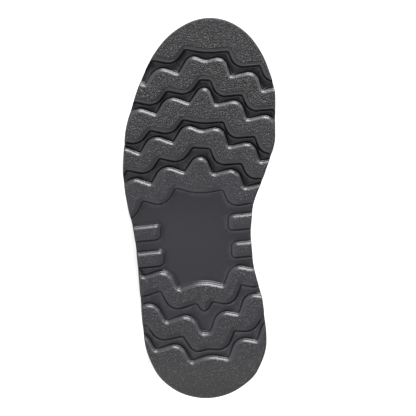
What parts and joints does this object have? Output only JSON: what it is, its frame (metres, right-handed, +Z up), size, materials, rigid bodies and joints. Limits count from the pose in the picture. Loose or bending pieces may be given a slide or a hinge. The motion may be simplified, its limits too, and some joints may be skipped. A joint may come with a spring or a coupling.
{
  "type": "moc toe work boot",
  "caption": "Lace-up ankle work boot for the right foot, with a moc toe seam, welt and a black wedge sole with stepped chevron lugs, lying on its outer side.",
  "frame": {"origin": "on the floor, under the middle of the boot's box as it lies on its outer side", "axes": "+X from the toe to the heel, +Y from the tread toward the collar, +Z up, toward the inner side"},
  "size_m": [0.2958, 0.2002, 0.1262],
  "materials": {
    "rubber": "matt moulded rubber",
    "leather": "oiled brown grain leather",
    "lining": "footbed cover",
    "metal": "aged brass colour eyelet",
    "cord": "flat woven lace",
    "welt": "stitched welt strip"
  },
  "bodies": {
    "root": {"outsole": "rubber", "welt": "welt", "insole": "lining", "upper": "leather", "tongue": "leather", "eyestay_lateral": "leather", "eyestay_medial": "leather", "heel_counter": "leather", "moc_seam": "leather", "laces": "cord", "eyelet_lateral_1": "metal", "eyelet_lateral_2": "metal", "eyelet_lateral_3": "metal", "eyelet_lateral_4": "metal", "eyelet_lateral_5": "metal", "eyelet_lateral_6": "metal", "eyelet_lateral_7": "metal", "eyelet_medial_1": "metal", "eyelet_medial_2": "metal", "eyelet_medial_3": "metal", "eyelet_medial_4": "metal", "eyelet_medial_5": "metal", "eyelet_medial_6": "metal", "eyelet_medial_7": "metal"}
  },
  "joints": []
}
